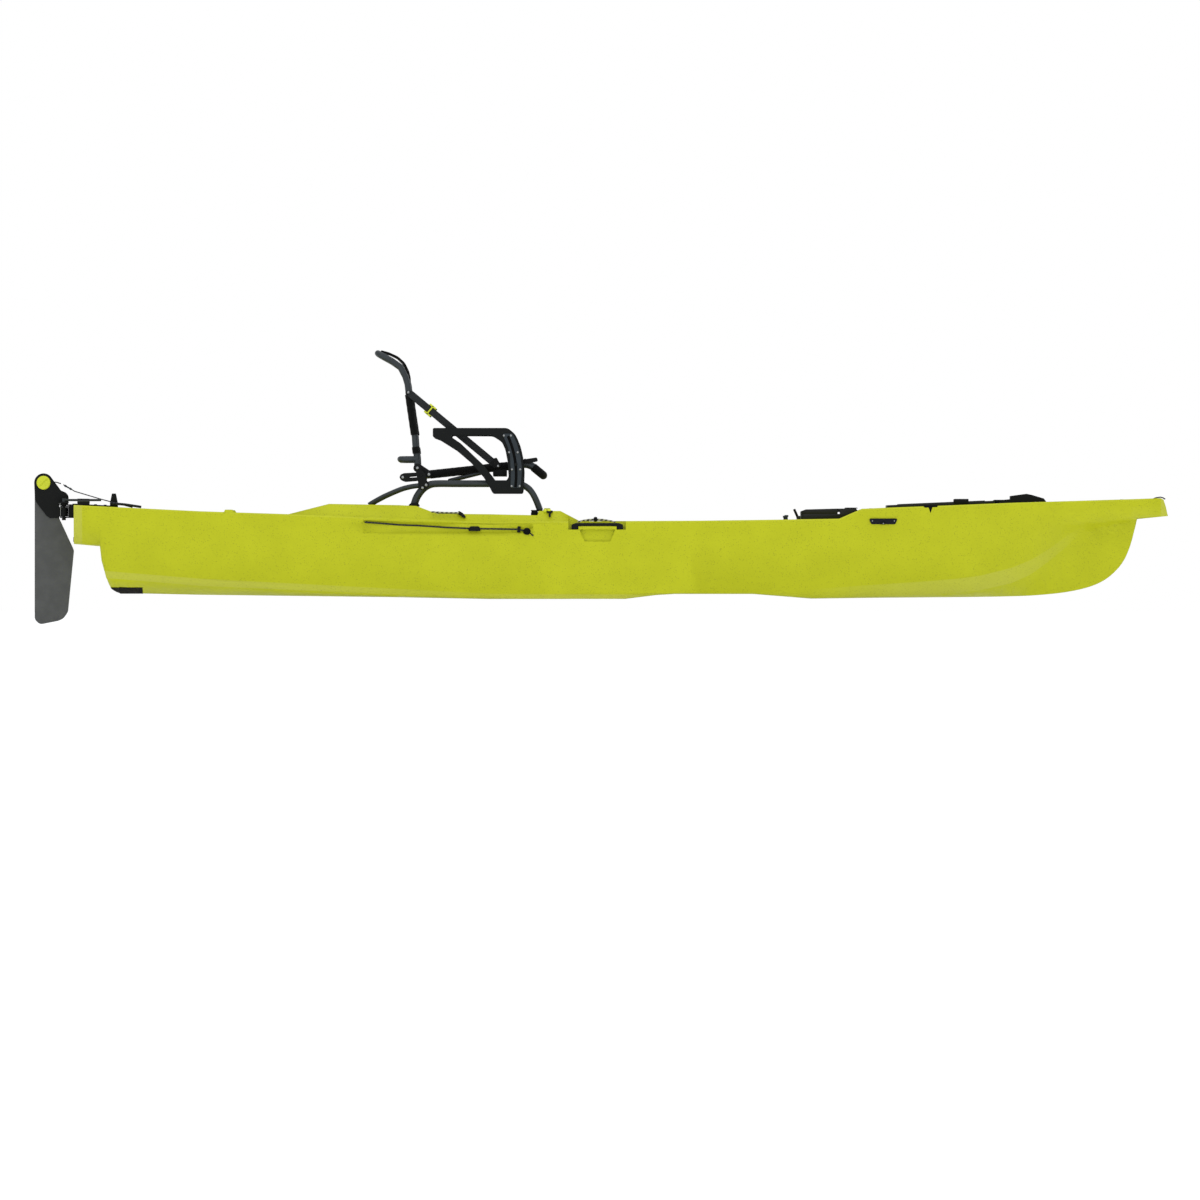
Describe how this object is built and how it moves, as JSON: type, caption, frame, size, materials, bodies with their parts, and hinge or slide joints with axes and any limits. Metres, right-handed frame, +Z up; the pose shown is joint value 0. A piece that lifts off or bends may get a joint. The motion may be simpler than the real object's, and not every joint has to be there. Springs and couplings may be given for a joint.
{
  "type": "pedal kayak",
  "caption": "Sit-on-top kayak with a framed mesh seat, docking pedal drive, drop rudder, hatches and gear tracks.",
  "frame": {"origin": "on the flat of the keel, in the middle of the width, below the seat", "axes": "+X towards the bow, +Y to port, +Z up"},
  "size_m": [4.0023, 0.9058, 0.9659],
  "materials": {
    "lime_shell": "rotomoulded, fine speckle, satin",
    "lime_trim": "moulded",
    "black_plastic": "moulded, matt",
    "slate_plastic": "moulded, satin",
    "grey_tube": "powder coated tube",
    "black_tube": "powder coated",
    "slate_metal": "powder coated plate",
    "mesh_cloth": "woven mesh",
    "webbing": "woven strap",
    "cord_black": "braided cord",
    "blade_grey": "moulded, matt",
    "steel": "brushed"
  },
  "bodies": {
    "hull": {"hull_shell": "lime_shell", "keel_skid_plate": "black_plastic", "drain_plug": "black_plastic", "gear_track_right": "slate_metal", "gear_track_left": "slate_metal", "side_handle_right": "black_plastic", "side_handle_left": "black_plastic", "paddle_bungee_right": "cord_black", "paddle_bungee_left": "cord_black", "side_cord_right": "cord_black", "side_cord_left": "cord_black", "side_cord_eye_right": "black_plastic", "side_cord_eye_left": "black_plastic", "bow_side_fitting_right": "black_plastic", "bow_side_fitting_left": "black_plastic", "bow_handle": "black_plastic", "bow_hatch_rim": "black_plastic", "bow_hatch_hinge_cover": "black_plastic", "console_box": "slate_plastic", "console_cap": "black_plastic", "deck_port_cap": "black_plastic", "seat_frame": "grey_tube", "seat_hinge_plate_right": "slate_metal", "seat_hinge_plate_left": "slate_metal", "armrest_right": "slate_metal", "armrest_left": "slate_metal", "armrest_slot_plate_right": "black_plastic", "armrest_slot_plate_left": "black_plastic", "rudder_bracket": "black_plastic", "rudder_park_block": "black_plastic", "rudder_lift_line": "cord_black", "steering_hose_right": "cord_black", "steering_hose_left": "cord_black", "drive_mount": "slate_metal"},
    "rudder_housing": {"rudder_head": "black_plastic", "rudder_pivot_cap": "lime_trim"},
    "blade": {"rudder_blade": "blade_grey"},
    "rod_right": {"steering_rod_right": "steel"},
    "rod_left": {"steering_rod_left": "steel"},
    "helm": {"steering_handle": "black_plastic"},
    "drive": {"drive_head": "slate_metal", "drive_leg": "blade_grey"},
    "crank": {"drive_crank": "black_tube"},
    "right_pedal": {"pedal_right": "black_plastic"},
    "left_pedal": {"pedal_left": "black_plastic"},
    "screw": {"propeller": "black_plastic"},
    "hatch_lid": {"bow_hatch_lid": "slate_plastic"},
    "right_latch": {"bow_hatch_latch_right": "black_plastic"},
    "left_latch": {"bow_hatch_latch_left": "black_plastic"},
    "box_lid": {"console_lid": "slate_plastic"},
    "lever": {"deck_lever": "black_plastic"},
    "pan": {"seat_pan_frame": "grey_tube", "seat_pan_sling": "mesh_cloth", "recline_strap_right": "webbing", "recline_strap_left": "webbing", "strap_buckle_right": "lime_trim", "strap_buckle_left": "lime_trim"},
    "back": {"seat_back_frame": "grey_tube", "seat_back_sling": "mesh_cloth"},
    "tilt_handle": {"seat_tilt_lever": "black_plastic"}
  },
  "joints": [
    {"name": "rudder_swing", "type": "hinge", "parent": "hull", "child": "rudder_housing", "pos_m": [-1.6806, 0, 0.31], "axis": [0, 0, 1], "range_deg": [-35, 35]},
    {"name": "blade_lift", "type": "hinge", "parent": "rudder_housing", "child": "blade", "pos_m": [-1.7523, 0, 0.4105], "axis": [0, 1, 0], "range_deg": [0, 270]},
    {"name": "rod_right_slide", "type": "slide", "parent": "hull", "child": "rod_right", "axis": [1, 0, 0], "range_m": [-0.0246, 0.0246]},
    {"name": "rod_left_slide", "type": "slide", "parent": "hull", "child": "rod_left", "axis": [-1, 0, 0], "range_m": [-0.0246, 0.0246]},
    {"name": "helm_turn", "type": "hinge", "parent": "hull", "child": "helm", "pos_m": [0.28, 0.262, 0.17], "axis": [0, 0, 1], "range_deg": [-35.1, 35.1]},
    {"name": "drive_dock", "type": "hinge", "parent": "hull", "child": "drive", "pos_m": [0.482, 0, 0.12], "axis": [0, -1, 0], "range_deg": [0, 78]},
    {"name": "crank_spin", "type": "hinge", "parent": "drive", "child": "crank", "pos_m": [0.71209, 0, 0.23222], "axis": [0, 1, 0], "continuous": true},
    {"name": "right_pedal_spin", "type": "hinge", "parent": "crank", "child": "right_pedal", "pos_m": [0.85709, -0.117, 0.23222], "axis": [0, 1, 0], "continuous": true},
    {"name": "left_pedal_spin", "type": "hinge", "parent": "crank", "child": "left_pedal", "pos_m": [0.56709, 0.117, 0.23222], "axis": [0, 1, 0], "continuous": true},
    {"name": "propeller_spin", "type": "hinge", "parent": "drive", "child": "screw", "pos_m": [0.1792, 0, 0.10164], "axis": [-0.2079, 0, 0.9781], "continuous": true},
    {"name": "hatch_lid_hinge", "type": "hinge", "parent": "hull", "child": "hatch_lid", "pos_m": [1.604, 0, 0.344], "axis": [0, 1, 0], "range_deg": [0, 85]},
    {"name": "right_latch_hinge", "type": "hinge", "parent": "hatch_lid", "child": "right_latch", "pos_m": [1.486, -0.1102, 0.34814], "axis": [-1, 0, 0], "range_deg": [0, 100]},
    {"name": "left_latch_hinge", "type": "hinge", "parent": "hatch_lid", "child": "left_latch", "pos_m": [1.486, 0.1102, 0.34814], "axis": [1, 0, 0], "range_deg": [0, 100]},
    {"name": "box_lid_hinge", "type": "hinge", "parent": "hull", "child": "box_lid", "pos_m": [1.05, 0, 0.313], "axis": [0, 1, 0], "range_deg": [0, 80]},
    {"name": "lever_tilt", "type": "hinge", "parent": "hull", "child": "lever", "pos_m": [0.91, 0, 0.288], "axis": [0, 1, 0], "range_deg": [-25, 25]},
    {"name": "pan_tilt", "type": "hinge", "parent": "hull", "child": "pan", "pos_m": [-0.418, 0, 0.4363], "axis": [0, -1, 0], "range_deg": [-5, 16]},
    {"name": "backrest_fold", "type": "hinge", "parent": "pan", "child": "back", "pos_m": [-0.4307, 0, 0.461], "axis": [0, 1, 0], "range_deg": [-8, 82]},
    {"name": "tilt_lever_turn", "type": "hinge", "parent": "pan", "child": "tilt_handle", "pos_m": [-0.052, -0.27315, 0.489], "axis": [0, -1, 0], "range_deg": [0, 30]}
  ],
  "couplings": [
    {"joint": "rod_right_slide", "follows": "rudder_swing", "m_per_rad": 0.04},
    {"joint": "rod_left_slide", "follows": "rudder_swing", "m_per_rad": 0.04},
    {"joint": "helm_turn", "follows": "rudder_swing", "ratio": 1},
    {"joint": "propeller_spin", "follows": "crank_spin", "ratio": 8}
  ]
}
